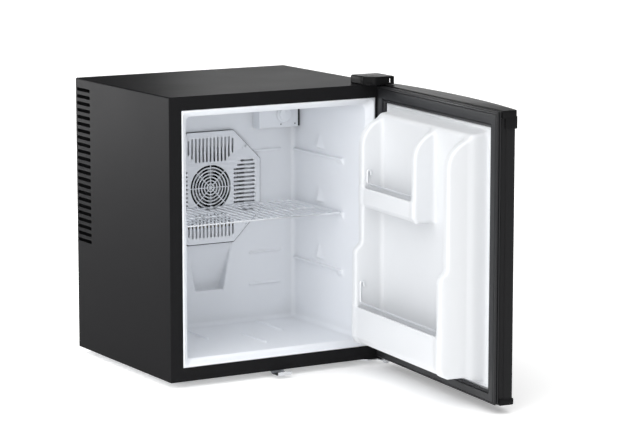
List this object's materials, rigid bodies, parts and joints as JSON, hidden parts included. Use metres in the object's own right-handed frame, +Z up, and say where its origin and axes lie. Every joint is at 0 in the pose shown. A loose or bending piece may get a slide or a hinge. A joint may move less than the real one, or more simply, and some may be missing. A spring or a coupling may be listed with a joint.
{
  "type": "mini fridge",
  "caption": "Compact black single-door mini fridge, door hinged on the right and standing open, with white liner, wire shelf, door bins and rear-wall fan grille.",
  "frame": {"origin": "on the floor under the middle of the cabinet", "axes": "+Z up; -Y is the front the door closes against, +X the hinge side; the door stands open by 85 degrees at rest"},
  "size_m": [0.4559, 0.8163, 0.528],
  "materials": {
    "black_paint": "satin powder coat",
    "galvanised_steel": "galvanised sheet",
    "white_liner": "smooth thermoformed plastic",
    "white_moulding": "semi-gloss moulding",
    "black_moulding": "fine-grained moulding",
    "gasket_rubber": "soft magnetic gasket",
    "aluminium_fins": "extruded and sawn",
    "chromed_wire": "bright plating",
    "zinc_steel": "bright zinc plating",
    "screw_steel": "zinc plated screws",
    "ceramic": "alumina faces",
    "foam": "rigid foamed filling",
    "circuit_board": "printed circuit board",
    "lamp_diffuser": "translucent moulding"
  },
  "bodies": {
    "cabinet": {"outer_shell": "black_paint", "bottom_pan": "galvanised_steel", "back_plate": "galvanised_steel", "rear_cover": "black_paint", "inner_liner": "white_liner", "foam_insulation": "foam", "fan_cover": "white_liner", "cold_fan_frame": "black_moulding", "cold_heat_sink": "aluminium_fins", "spacer_block": "aluminium_fins", "peltier_module": "ceramic", "hot_heat_sink": "aluminium_fins", "rear_fan_frame": "black_moulding", "power_supply_tray": "galvanised_steel", "power_supply_board": "circuit_board", "power_inlet": "black_moulding", "inlet_pins": "screw_steel", "evaporation_tray": "black_moulding", "drain_tube": "black_moulding", "lamp_housing": "white_moulding", "lamp_lens": "lamp_diffuser", "lamp_board": "circuit_board", "thermostat_control": "black_moulding", "housing_screws": "screw_steel", "housing_end_seal": "gasket_rubber", "feet": "gasket_rubber", "foot_screws": "screw_steel", "top_hinge_bracket": "black_paint", "top_hinge_pin": "zinc_steel", "top_hinge_cover": "black_moulding", "top_hinge_screws": "screw_steel", "bottom_hinge_bracket": "zinc_steel", "hinge_washer": "zinc_steel", "bottom_hinge_pin": "zinc_steel", "bottom_hinge_screws": "screw_steel", "strike_plate": "zinc_steel", "strike_screws": "screw_steel", "fan_cover_screws": "white_moulding", "rear_cover_screws": "screw_steel", "rear_fan_screws": "screw_steel", "cold_fan_screws": "screw_steel"},
    "cold_fan": {"cold_fan_rotor": "black_moulding"},
    "rear_fan": {"rear_fan_rotor": "black_moulding"},
    "knob": {"thermostat_knob": "white_moulding"},
    "shelf": {"wire_shelf": "chromed_wire"},
    "door": {"door_panel": "black_paint", "door_foam": "foam", "door_top_cap": "black_moulding", "door_bottom_cap": "black_moulding", "door_gasket": "gasket_rubber", "door_liner": "white_liner", "upper_bin_rod": "chromed_wire", "lower_bin_rod": "chromed_wire", "hinge_bushes": "black_moulding", "lock_barrel": "zinc_steel"},
    "lock": {"lock_plug": "zinc_steel", "lock_cam": "zinc_steel"}
  },
  "joints": [
    {"name": "door_hinge", "type": "hinge", "parent": "cabinet", "child": "door", "pos_m": [0.21, -0.201, 0.26], "axis": [0, 0, 1], "range_deg": [-85, 25]},
    {"name": "shelf_slide", "type": "slide", "parent": "cabinet", "child": "shelf", "axis": [0, -1, 0], "range_m": [0, 0.12]},
    {"name": "cold_fan_spin", "type": "hinge", "parent": "cabinet", "child": "cold_fan", "pos_m": [0, 0.087, 0.306], "axis": [0, 1, 0], "continuous": true},
    {"name": "rear_fan_spin", "type": "hinge", "parent": "cabinet", "child": "rear_fan", "pos_m": [0, 0.165, 0.306], "axis": [0, 1, 0], "continuous": true},
    {"name": "thermostat_turn", "type": "hinge", "parent": "cabinet", "child": "knob", "pos_m": [0.1445, 0.052, 0.436], "axis": [0, -1, 0], "range_deg": [-135, 135]},
    {"name": "lock_turn", "type": "hinge", "parent": "door", "child": "lock", "pos_m": [0.21561, -0.41229, 0.032], "axis": [-0.9962, 0.0872, 0], "range_deg": [0, 90]}
  ]
}
